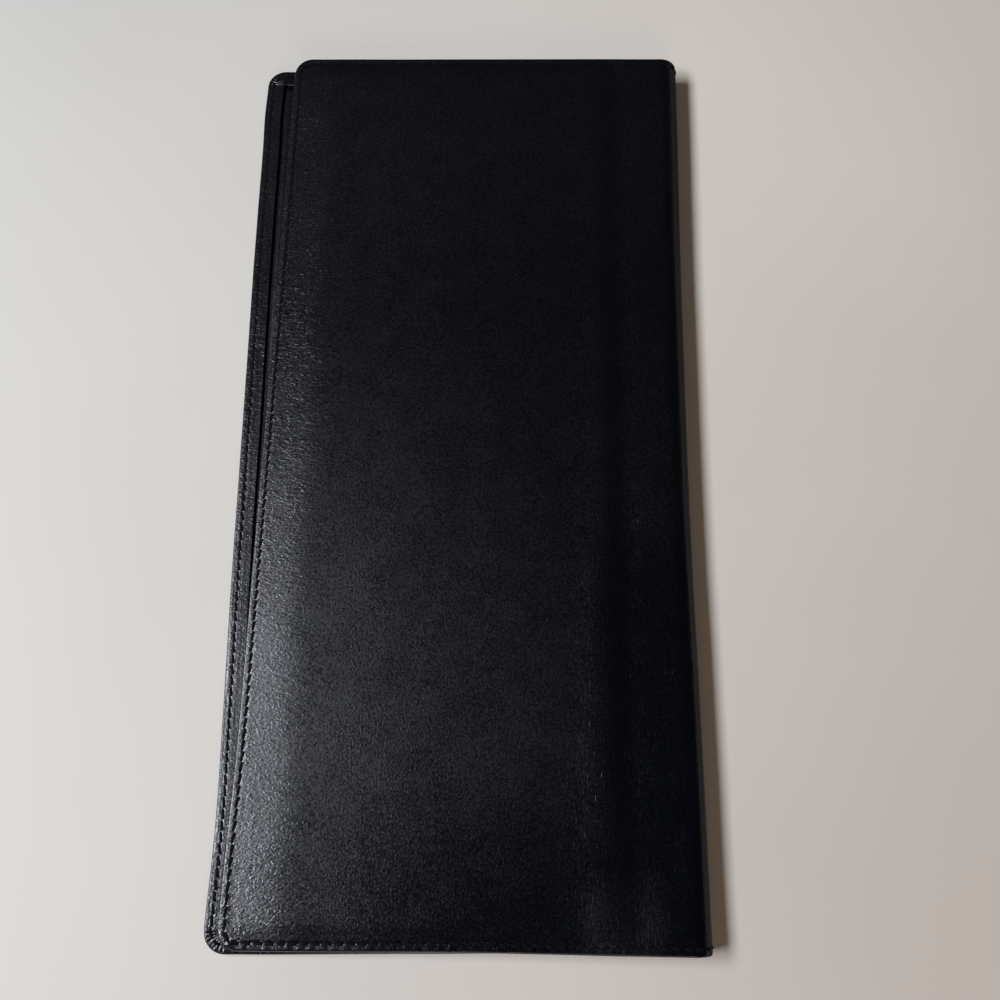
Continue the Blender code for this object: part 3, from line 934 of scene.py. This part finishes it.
def lining_relief(distance, y, inset):
    """Soft cross wrinkles of the lining where it folds, over low random hills."""
    fold = 1.0 - smooth_ramp(distance, WRINKLED_FROM, WRINKLED_TO)
    wrinkles = LINING_WRINKLES * hills(distance / WRINKLES_AWAY, y / WRINKLES_ALONG, 31) * fold
    return wrinkles + SHEET_HILLS * hills(distance / SHEET_HILL_LENGTH, y / SHEET_HILL_LENGTH, 32)


def slip_relief(distance, y, inset):
    """A bead and a pressed line along the slip pocket's mouth, over low random hills."""
    low_hills = SHEET_HILLS * hills(distance / SHEET_HILL_LENGTH, y / SHEET_HILL_LENGTH, 33)
    return mouth_relief(distance - POCKET_MOUTH) + low_hills


def seam_row(name, half, plies, at_y, finish):
    """Stitches along a column's side, on whichever of the plies (course, thickness) lies innermost."""
    first = min(course[0][0] for course, _ in plies) + SEAM_START
    last = max(course[-1][0] for course, _ in plies) - SEAM_STOP
    count = int((last - first) / STITCH_PITCH)
    distance = first + (np.arange(count) + 0.5) * STITCH_PITCH
    y = np.full_like(distance, at_y)
    depth = np.full_like(distance, FIRST_PLY)
    for course, thickness in plies:
        covered = (distance > course[0][0] - LIP_REACH) & (distance < course[-1][0])
        depth = np.maximum(depth, np.where(covered, course_depth(course, distance) + thickness, 0.0))
    depth = depth - SEAM_SINK
    lead_x, lead_y = np.full_like(distance, half.side), np.zeros_like(distance)
    x = half_x(half, distance, y)
    points = thread_points(x, y, lead_x, lead_y, depth, 1.0, SEAM_STITCH, 22, SEAM_THREAD_RADIUS)
    return thread_row(name, points, finish)


# Finishes


# Grain of the leather, with scales in cells or waves to the metre
CELL_SCALE = 1350.0
DRAWN_SCALE = 0.926 * CELL_SCALE
CELL_RISE = 0.24
LEVEL_WEIGHT = 1.15
DOME_SCALE = 1900.0
DOME_WEIGHT = 0.3
PORE_SCALE = 3000.0
PORE_WEIGHT = 0.15
PATCH_SCALE = 90.0
BEND_SCALE = 900.0
BEND = 0.0003
GLOSS_SCALE = 140.0
SPECK = 0.06

# Layers of the cover's grain: stretch, turn in degrees and, for creases, scale and width
LEVEL_CELLS = (0.70, 1.20, 1.0), 0.0
LEVEL_LINES = (0.36, 1.0, 1.0), 0.0, 560.0, 0.12
LEVEL_CREASES = (0.55, 1.30, 1.0), -32.0, 420.0, 0.045
MORE_LEVEL_CREASES = (0.55, 1.30, 1.0), 28.0, 420.0, 0.045
LONG_CELLS = (1.25, 0.42, 1.0), 4.0
LONG_CREASES = (1.5, 0.30, 1.0), 8.0, 420.0, 0.05
FINE_LINES = (1.5, 0.16, 1.0), 9.0, 750.0, 0.20

# Colours, in pairs where a pattern runs from the first to the second
COVER_COLOUR = (0.0002, 0.0013, 0.0045)
INNER_COLOUR = (0.0008, 0.0014, 0.0050)
LEATHER_SHEEN = (0.90, 0.92, 1.0, 1.0)
THREAD_COLOURS = (0.0006, 0.0004, 0.0010), (0.0022, 0.0017, 0.0034)
FABRIC_COLOURS = (0.008, 0.008, 0.010), (0.022, 0.022, 0.026)
BOARD_COLOURS = (0.16, 0.12, 0.08), (0.42, 0.34, 0.24)
# The table's pairs run from its left to its right, near and far: a pale grey with painted light, warmer to
# the right, darker at the near right and brighter at the far right.
TABLE_NEAR_WITH_PAINTED_LIGHT = (0.62, 0.62, 0.61), (0.61, 0.565, 0.53)
TABLE_FAR_WITH_PAINTED_LIGHT = (0.60, 0.60, 0.59), (0.79, 0.745, 0.70)

# Where the cover's grain is drawn out: soft steps along X and Y
LEFT_ZONE = (-0.024, -0.042)
RIGHT_ZONE = (0.010, 0.034)
CALM_ZONE = (0.020, 0.075)
LOW_ZONE = (-0.020, -0.085)

# Zones that handling polished or left dull: an amount in units of POLISH, and soft steps along axes
POLISH = 0.085
INNER_ZONE = (-0.040, 0.010)
BY_FOLD = (1.0, ("X", 0.026, 0.038), ("Y", -0.010, -0.040))
LOWER_END = (1.0, ("Y", -0.068, -0.108))
CRUMPLED_CORNER = (-1.3, ("Y", -0.094, -0.106), ("X", 0.024, 0.030), ("X", 0.048, 0.042))
FREE_BAND = (0.22, ("X", -0.030, -0.044), ("Y", 0.005, -0.030))
DULL_TOP = (-0.90, ("Y", 0.030, 0.100))
DULL_SIDE = (-6.0, ("X", 0.0525, 0.0545), ("Z", 0.0094, 0.0080))


def add_node(material, kind, inputs=None, **settings):
    """A shader node with its settings, its values and the sockets that feed it."""
    node = material.node_tree.nodes.new(kind)
    for key, value in settings.items():
        setattr(node, key, value)
    for key, value in (inputs or {}).items():
        if isinstance(value, bpy.types.NodeSocket):
            material.node_tree.links.new(value, node.inputs[key])
        else:
            node.inputs[key].default_value = value
    return node


def new_finish(name):
    """An empty node material and its shader."""
    material = bpy.data.materials.new(name)
    material.use_nodes = True
    return material, material.node_tree.nodes["Principled BSDF"]


def join(material, socket, shader, key):
    """Feeds a shader's input."""
    material.node_tree.links.new(socket, shader.inputs[key])


def maths(material, operation, first, second=0.0, third=0.0):
    """One arithmetic step."""
    node = add_node(material, "ShaderNodeMath", {0: first, 1: second, 2: third}, operation=operation)
    return node.outputs[0]


def rest_place(material):
    """A point's place at rest, from its piece's hide attribute."""
    return add_node(material, "ShaderNodeAttribute", attribute_name="hide").outputs["Vector"]


def blended(material, share, first, second):
    """A colour between two, each given as (red, green, blue) or as a socket."""
    values = {0: share}
    for key, colour in ((6, first), (7, second)):
        values[key] = colour if isinstance(colour, bpy.types.NodeSocket) else (*colour, 1.0)
    return add_node(material, "ShaderNodeMix", values, data_type="RGBA").outputs[2]


def raise_relief(material, shader, height, strength, distance):
    """Turns a height into the shader's normal."""
    values = {"Height": height, "Strength": strength, "Distance": distance}
    join(material, add_node(material, "ShaderNodeBump", values).outputs["Normal"], shader, "Normal")


def ramp_between(material, value, low, high, result_low=0.0, result_high=1.0):
    """A value taken smoothly from one range to another, and held at the ends."""
    node = add_node(
        material, "ShaderNodeMapRange",
        {"Value": value, "From Min": low, "From Max": high, "To Min": result_low, "To Max": result_high},
        interpolation_type="SMOOTHSTEP",
    )
    return node.outputs["Result"]


def stretched(material, place, stretch, turn):
    """The place scaled along each axis, then turned about Z by degrees to another part of the pattern."""
    values = {"Vector": place, "Scale": stretch, "Rotation": (0.0, 0.0, math.radians(turn))}
    return add_node(material, "ShaderNodeMapping", values).outputs["Vector"]


def noise_at(material, place, scale, detail=2.0, roughness=0.5):
    """Fractal noise from 0 to 1."""
    values = {"Vector": place, "Scale": scale, "Detail": detail, "Roughness": roughness}
    return add_node(material, "ShaderNodeTexNoise", values).outputs["Fac"]


def cells_at(material, place, scale):
    """Flat-topped cells parted by narrow creases, as a height that climbs from 0 to 1 over CELL_RISE."""
    values = {"Vector": place, "Scale": scale}
    node = add_node(material, "ShaderNodeTexVoronoi", values, feature="DISTANCE_TO_EDGE")
    return ramp_between(material, node.outputs["Distance"], 0.0, CELL_RISE)


def creases_at(material, place, stretch, turn, scale, width):
    """Wandering creases, drawn out by the stretch: a noise field cut down near its middle value."""
    field = noise_at(material, stretched(material, place, stretch, turn), scale, 2.0, 0.6)
    away = maths(material, "ABSOLUTE", maths(material, "SUBTRACT", field, 0.5))
    return ramp_between(material, away, 0.0, width)


def mixed(material, share, first, second):
    """First where share is 0 and second where it is 1."""
    return add_node(material, "ShaderNodeMix", {0: share, 2: first, 3: second}).outputs[0]


def level_grain(material, place, along):
    """Wrinkles across the wallet: flat cells plus level lines, times two sets of broader creases."""
    lines = creases_at(material, place, *LEVEL_LINES)
    lines = maths(material, "MULTIPLY", lines, ramp_between(material, along, *CALM_ZONE, 1.0, 0.5))
    cells = cells_at(material, stretched(material, place, *LEVEL_CELLS), DRAWN_SCALE)
    height = maths(material, "MULTIPLY_ADD", lines, LEVEL_WEIGHT, cells)
    for layer in (LEVEL_CREASES, MORE_LEVEL_CREASES):
        height = maths(material, "MULTIPLY", height, creases_at(material, place, *layer))
    return height


def lengthwise_grain(material, place, along):
    """Cells times creases, drawn out along the spine, plus finer lines that deepen towards the lower end."""
    cells = cells_at(material, stretched(material, place, *LONG_CELLS), DRAWN_SCALE)
    creases = creases_at(material, place, *LONG_CREASES)
    fine = creases_at(material, place, *FINE_LINES)
    deepening = ramp_between(material, along, *LOW_ZONE, 0.50, 1.25)
    return maths(material, "MULTIPLY_ADD", fine, deepening, maths(material, "MULTIPLY", cells, creases))


def cover_grain(material, place, round_cells):
    """Grain drawn by wear: level wrinkles by the free edge, then round cells, then long ones by the spine."""
    axes = add_node(material, "ShaderNodeSeparateXYZ", {"Vector": place}).outputs
    left = ramp_between(material, axes["X"], *LEFT_ZONE)
    right = ramp_between(material, axes["X"], *RIGHT_ZONE)
    level = level_grain(material, place, axes["Y"])
    drawn = lengthwise_grain(material, place, axes["Y"])
    return mixed(material, right, mixed(material, left, round_cells, level), drawn)


def domes_at(material, place, scale):
    """Small round pebbles, as a height: 1 less the square of the distance to the nearest middle."""
    node = add_node(material, "ShaderNodeTexVoronoi", {"Vector": place, "Scale": scale}, feature="F1")
    away = node.outputs["Distance"]
    return maths(material, "SUBTRACT", 1.0, maths(material, "MULTIPLY", away, away))


def zone(material, axes, amount, *steps):
    """The amount inside a zone and 0 outside: its product with soft steps along the axes."""
    for axis, low, high in steps:
        amount = maths(material, "MULTIPLY", ramp_between(material, axes[axis], low, high), amount)
    return amount


def polish(material, place):
    """How much handling has polished the cover: the greater of two zones, plus the sum of the others."""
    axes = add_node(material, "ShaderNodeSeparateXYZ", {"Vector": place}).outputs
    inner = ramp_between(material, axes["X"], *INNER_ZONE, 0.4, 1.0)
    end = maths(material, "MULTIPLY", zone(material, axes, *LOWER_END), inner)
    worn = maths(material, "MAXIMUM", zone(material, axes, *BY_FOLD), end)
    for area in (CRUMPLED_CORNER, FREE_BAND, DULL_TOP, DULL_SIDE):
        worn = maths(material, "ADD", zone(material, axes, *area), worn)
    return worn


def leather_gloss(material, place, roughness, creased):
    """Roughness: cloudy, lower where handling has polished the cover, and finely speckled."""
    cloud = noise_at(material, place, GLOSS_SCALE, 3.0)
    gloss = ramp_between(material, cloud, 0.3, 0.7, roughness - 0.01, roughness + 0.02)
    if creased:
        gloss = maths(material, "MULTIPLY_ADD", polish(material, place), -POLISH, gloss)
    speck = ramp_between(material, noise_at(material, place, DOME_SCALE, 1.0), 0.25, 0.75, -SPECK, SPECK)
    return maths(material, "ADD", gloss, speck)


def leather_finish(name, colour, roughness, grain, creased=False):
    """Dyed smooth leather: cells, domes and pores, and where creased says so the cover's wear.

    The height is their weighted sum, times grain, read at a place bent by noise. In its lows the colour
    halves, as painted shade in the creases.
    """
    material, shader = new_finish(name)
    place = rest_place(material)
    bend = add_node(material, "ShaderNodeTexNoise", {"Vector": place, "Scale": BEND_SCALE, "Detail": 1.0})
    bent = {0: bend.outputs["Color"], 1: (BEND, BEND, BEND), 2: place}
    place = add_node(material, "ShaderNodeVectorMath", bent, operation="MULTIPLY_ADD").outputs[0]
    height = cells_at(material, place, CELL_SCALE)
    if creased:
        height = cover_grain(material, place, height)
    patch = noise_at(material, place, PATCH_SCALE, 3.0)
    height = maths(material, "MULTIPLY", height, ramp_between(material, patch, 0.3, 0.7, 0.75, 1.0))
    height = maths(material, "MULTIPLY_ADD", domes_at(material, place, DOME_SCALE), DOME_WEIGHT, height)
    height = maths(material, "MULTIPLY_ADD", noise_at(material, place, PORE_SCALE), PORE_WEIGHT, height)
    raise_relief(material, shader, height, strength=1.0, distance=grain)
    # Painted shade: in the grain's lows the colour halves, where the creases would lie in shade.
    painted_crease_shade = [0.5 * part for part in colour]
    tone = blended(material, ramp_between(material, height, 0.6, 1.8), painted_crease_shade, colour)
    join(material, tone, shader, "Base Color")
    join(material, leather_gloss(material, place, roughness, creased), shader, "Roughness")
    shader.inputs["Specular Tint"].default_value = LEATHER_SHEEN
    return material


def thread_finish():
    """Black twisted thread: fine slanting bands of its plies."""
    material, shader = new_finish("sewing_thread")
    twist = {"Vector": rest_place(material), "Scale": 620.0, "Distortion": 1.5, "Detail": 1.0}
    plies = add_node(material, "ShaderNodeTexWave", twist, bands_direction="DIAGONAL").outputs["Fac"]
    raise_relief(material, shader, plies, strength=0.6, distance=0.00006)
    join(material, blended(material, plies, *THREAD_COLOURS), shader, "Base Color")
    shader.inputs["Roughness"].default_value = 0.8
    shader.inputs["Specular IOR Level"].default_value = 0.12
    return material


def fabric_finish():
    """Thin plain-woven pocketing: the product of a wave for the warp and one for the weft."""
    material, shader = new_finish("pocketing")
    yarns = {"Vector": rest_place(material), "Scale": 650.0, "Distortion": 0.6}
    warp = add_node(material, "ShaderNodeTexWave", yarns, bands_direction="X").outputs["Fac"]
    weft = add_node(material, "ShaderNodeTexWave", yarns, bands_direction="Y").outputs["Fac"]
    weave = maths(material, "MULTIPLY", warp, weft)
    raise_relief(material, shader, weave, strength=0.5, distance=0.00008)
    join(material, blended(material, weave, *FABRIC_COLOURS), shader, "Base Color")
    shader.inputs["Roughness"].default_value = 0.85
    shader.inputs["Sheen Weight"].default_value = 0.15
    return material


def board_finish():
    """Grey-brown stiffener board: pressed fibres drawn out along Y over broad blotches."""
    material, shader = new_finish("stiffener_fibre")
    place = add_node(material, "ShaderNodeTexCoord").outputs["Object"]
    fibres = noise_at(material, stretched(material, place, (1.0, 0.25, 1.0), 0.0), 1400.0, 4.0, 0.65)
    blotches = maths(material, "MULTIPLY", noise_at(material, place, 120.0, 3.0), 0.4)
    share = maths(material, "MULTIPLY_ADD", fibres, 0.6, blotches)
    join(material, blended(material, share, *BOARD_COLOURS), shader, "Base Color")
    raise_relief(material, shader, fibres, strength=0.3, distance=0.0001)
    shader.inputs["Roughness"].default_value = 0.9
    return material


def table_finish():
    """A pale smooth table top with painted light: neutral to the left, painted warm light to the right,
    darker at the near right and brighter at the far right, with the faintest cloudiness.
    """
    material, shader = new_finish("pale_table")
    place = add_node(material, "ShaderNodeTexCoord").outputs["Object"]
    axes = add_node(material, "ShaderNodeSeparateXYZ", {"Vector": place}).outputs
    # Painted light: the table's colour warms to the right and, on that side, brightens from near to far.
    warm = ramp_between(material, axes["X"], -0.13, 0.13)
    far = ramp_between(material, axes["Y"], -0.12, 0.16)
    near_painted_light = blended(material, warm, *TABLE_NEAR_WITH_PAINTED_LIGHT)
    far_painted_light = blended(material, warm, *TABLE_FAR_WITH_PAINTED_LIGHT)
    plain = blended(material, far, near_painted_light, far_painted_light)
    cloud = noise_at(material, place, 9.0, 4.0)
    shade = ramp_between(material, cloud, 0.3, 0.7, 0.98, 1.02)
    tone = add_node(material, "ShaderNodeVectorMath", {0: plain, 3: shade}, operation="SCALE").outputs[0]
    join(material, tone, shader, "Base Color")
    join(material, ramp_between(material, cloud, 0.3, 0.7, 0.60, 0.66), shader, "Roughness")
    shader.inputs["Specular IOR Level"].default_value = 0.25
    return material


# Assembly


def dress_shell(cover_leather, lining_leather, thread):
    """Shell, lining and edge stitches of both halves, each with its placement baked into its mesh."""
    for half in (REAR, FRONT):
        shell = shell_half(half, cover_leather)
        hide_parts(half.name + "_cover", "spine_cover")
        name = half.name + "_lining_skin"
        lining = inner_sheet(name, half, -MID_FOLD, lining_section, lining_leather, lining_relief)
        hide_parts(half.name + "_lining", "spine_lining")
        rows = [edge_stitches(half, inner, thread) for inner in (False, True)]
        for piece in (shell, lining, *rows):
            hinge_blend(piece, half)


def dress_slip_pockets(leather):
    """The full-length pockets of both halves."""
    for name, half in (("ticket_pocket", REAR), ("document_pocket", FRONT)):
        pocket = inner_sheet(name + "_skin", half, POCKET_MOUTH, pocket_section, leather, slip_relief)
        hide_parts(name)
        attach(pocket, half.body)


def dress_panel(node, half, course, low_y, high_y, finish, slot, seed):
    """One pocket panel in place of its solid. Returns its course and thickness."""
    plain = slot == "bag_fabric"
    thickness = BAG_THICKNESS if plain else POCKET_THICKNESS
    piece = panel(node + "_skin", half, course, thickness, low_y, high_y, finish, seed, plain)
    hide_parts(node)
    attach(piece, half.body)
    return course, thickness


def dress_column(prefix, half, low_y, high_y, leather, fabric, thread, seed):
    """A column of stepped card slots with a seam down each side."""
    mouths = slot_mouths(half)
    plies = []
    for index in range(STEPPED_SLOTS):
        node = f"{prefix}_card_strip_{index + 1}"
        strip = strip_course(index, mouths)
        plies.append(dress_panel(node, half, strip, low_y, high_y, leather, "pocket_leather", seed + index))
        node = f"{prefix}_card_bag_{index + 1}"
        dress_panel(node, half, bag_course(index, mouths), low_y, high_y, fabric, "bag_fabric", seed)
    node = prefix + "_card_pocket"
    bottom = bottom_course(half, mouths)
    plies.append(dress_panel(node, half, bottom, low_y, high_y, leather, "pocket_leather", seed + 5))
    dress_seams(prefix + "_card", half, plies, low_y, high_y, thread)


def dress_seams(prefix, half, plies, low_y, high_y, thread):
    """The two side seams of a column."""
    for word, at_y in (("low", low_y + REAR_SEAM), ("high", high_y - REAR_SEAM)):
        row = seam_row(f"{prefix}_{word}_seam", half, plies, at_y, thread)
        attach(row, half.body)


def dress_panels(leather, fabric, thread):
    """Passport pocket and card columns."""
    low_end = -HALF_LENGTH + RAMP_START
    high_end = HALF_LENGTH - RAMP_START
    passport_end = low_end + PASSPORT_LENGTH
    course = [(PASSPORT_MOUTH, FIRST_PLY), (panel_end(REAR), FIRST_PLY)]
    ply = dress_panel("passport_pocket", REAR, course, low_end, passport_end, leather, "pocket_leather", 40)
    dress_seams("passport", REAR, [ply], low_end, passport_end, thread)
    dress_column("rear", REAR, passport_end + COLUMN_GAP, high_end, leather, fabric, thread, 50)
    dress_column("lower", FRONT, low_end, -COLUMN_GAP / 2.0, leather, fabric, thread, 60)
    dress_column("upper", FRONT, COLUMN_GAP / 2.0, high_end, leather, fabric, thread, 70)


def finish_boards(board):
    """The stiffeners stay as packed and get their own finish."""
    for name in ("rear_stiffener", "front_stiffener"):
        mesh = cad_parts[name].data
        mesh.materials.clear()
        mesh.materials.append(board)


# Studio


CAMERA_PLACE = (0.0038235, -0.0790030, 0.2413399)
CAMERA_PITCH = math.radians(15.938)
CAMERA_YAW = math.radians(-1.270)
CAMERA_ROLL = math.radians(0.342)
FOCAL_SHARE = 0.99786
SENSOR = 36.0
TABLE_SIZE = 6.0
TABLE_GAP = 0.00005
WINDOW_PLACE = (-0.551, -0.055, 0.709)
WINDOW_SIZE = (0.50, 0.20)
WINDOW_LIGHT = (0.97, 0.98, 1.0)
NEAR_LAMP_PLACE = (0.074, -0.792, 0.421)
NEAR_LAMP_SIZE = (0.40, 0.30)
NEAR_LAMP_LIGHT = (1.0, 0.76, 0.58)
ROOM_LIGHT = (1.0, 0.80, 0.66, 1.0)


def add_camera():
    """The photograph's viewpoint: nearly overhead, from the lower end."""
    camera = bpy.data.objects.new("viewpoint", bpy.data.cameras.new("viewpoint"))
    bpy.context.scene.collection.objects.link(camera)
    turn = Matrix.Identity(4)
    for angle, axis in ((CAMERA_ROLL, "Z"), (CAMERA_PITCH, "X"), (CAMERA_YAW, "Y")):
        turn = turn @ Matrix.Rotation(angle, 4, axis)
    camera.matrix_world = Matrix.Translation(CAMERA_PLACE) @ turn
    camera.data.sensor_width = SENSOR
    camera.data.lens = FOCAL_SHARE * SENSOR
    camera.data.clip_start = 0.01
    bpy.context.scene.camera = camera


def add_lamp(name, place, size, colour, power):
    """A soft rectangular lamp aimed at the wallet's middle."""
    lamp = bpy.data.lights.new(name, "AREA")
    lamp.shape = "RECTANGLE"
    lamp.size, lamp.size_y = size
    lamp.energy = power
    lamp.color = colour
    holder = bpy.data.objects.new(name, lamp)
    bpy.context.scene.collection.objects.link(holder)
    holder.location = place
    holder.rotation_euler = (-Vector(place)).to_track_quat("-Z", "Y").to_euler()


def add_table(finish):
    """The plain surface that the wallet lies on: a square just below it."""
    side = TABLE_SIZE / 2.0
    corners = [(x, y, -TABLE_GAP) for x, y in ((-side, -side), (side, -side), (side, side), (-side, side))]
    mesh = bpy.data.meshes.new("table")
    mesh.from_pydata(corners, [], [(0, 1, 2, 3)])
    mesh.materials.append(finish)
    table = bpy.data.objects.new("table", mesh)
    bpy.context.scene.collection.objects.link(table)


def light_studio():
    """A tall window to the left, a weak warm light from the near end, and a dim warm room."""
    add_lamp("window", WINDOW_PLACE, WINDOW_SIZE, WINDOW_LIGHT, power=9.1)
    add_lamp("room", NEAR_LAMP_PLACE, NEAR_LAMP_SIZE, NEAR_LAMP_LIGHT, power=1.4)
    world = bpy.data.worlds.new("room")
    world.use_nodes = True
    ground = world.node_tree.nodes["Background"]
    ground.inputs["Color"].default_value = ROOM_LIGHT
    ground.inputs["Strength"].default_value = 0.045
    bpy.context.scene.world = world


def dress():
    """Builds every piece, the finishes and the studio."""
    cover_leather = leather_finish("cover_hide", COVER_COLOUR, roughness=0.286, grain=0.000015, creased=True)
    pocket_leather = leather_finish("pocket_hide", INNER_COLOUR, roughness=0.34, grain=0.00002)
    lining_leather = leather_finish("lining_hide", INNER_COLOUR, roughness=0.40, grain=0.00002)
    thread = thread_finish()
    fabric = fabric_finish()
    dress_shell(cover_leather, lining_leather, thread)
    dress_slip_pockets(pocket_leather)
    dress_panels(pocket_leather, fabric, thread)
    finish_boards(board_finish())
    add_table(table_finish())
    add_camera()
    light_studio()
    bpy.context.scene.view_settings.view_transform = "Standard"


dress()
